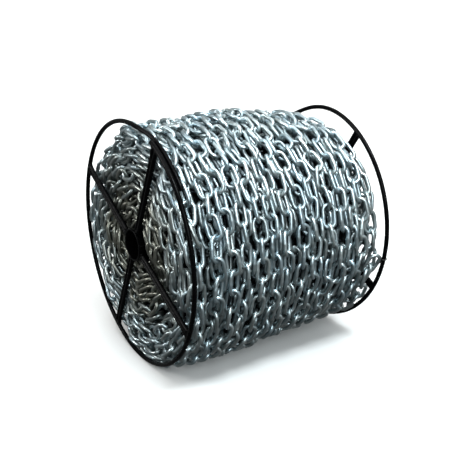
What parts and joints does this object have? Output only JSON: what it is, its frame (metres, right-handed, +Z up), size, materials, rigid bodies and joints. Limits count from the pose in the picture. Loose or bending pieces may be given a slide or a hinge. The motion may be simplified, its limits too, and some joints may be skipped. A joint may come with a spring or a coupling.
{
  "type": "reel of steel chain",
  "caption": "Wire reel wound full with zinc-plated welded steel chain, lying on its two round rims, with a through bore for a spindle.",
  "frame": {"origin": "on the floor, under the middle of the reel", "axes": "+X along the reel's axle line, from the near flange with the lapped rim to the far flange; +Z up"},
  "size_m": [0.275, 0.299, 0.2989],
  "materials": {
    "black_paint": "satin black paint on round steel wire and tube",
    "zinc_plate": "bright zinc plating with a faint blue cast, dulled in the gaps",
    "tie_wire_steel": "dark annealed binding wire"
  },
  "bodies": {
    "root": {"near_rim": "black_paint", "far_rim": "black_paint", "near_spoke_1": "black_paint", "near_spoke_2": "black_paint", "near_spoke_3": "black_paint", "near_spoke_4": "black_paint", "far_spoke_1": "black_paint", "far_spoke_2": "black_paint", "far_spoke_3": "black_paint", "far_spoke_4": "black_paint", "hub_tube": "black_paint", "chain_winding": "zinc_plate", "tie_wire": "tie_wire_steel"}
  },
  "joints": []
}
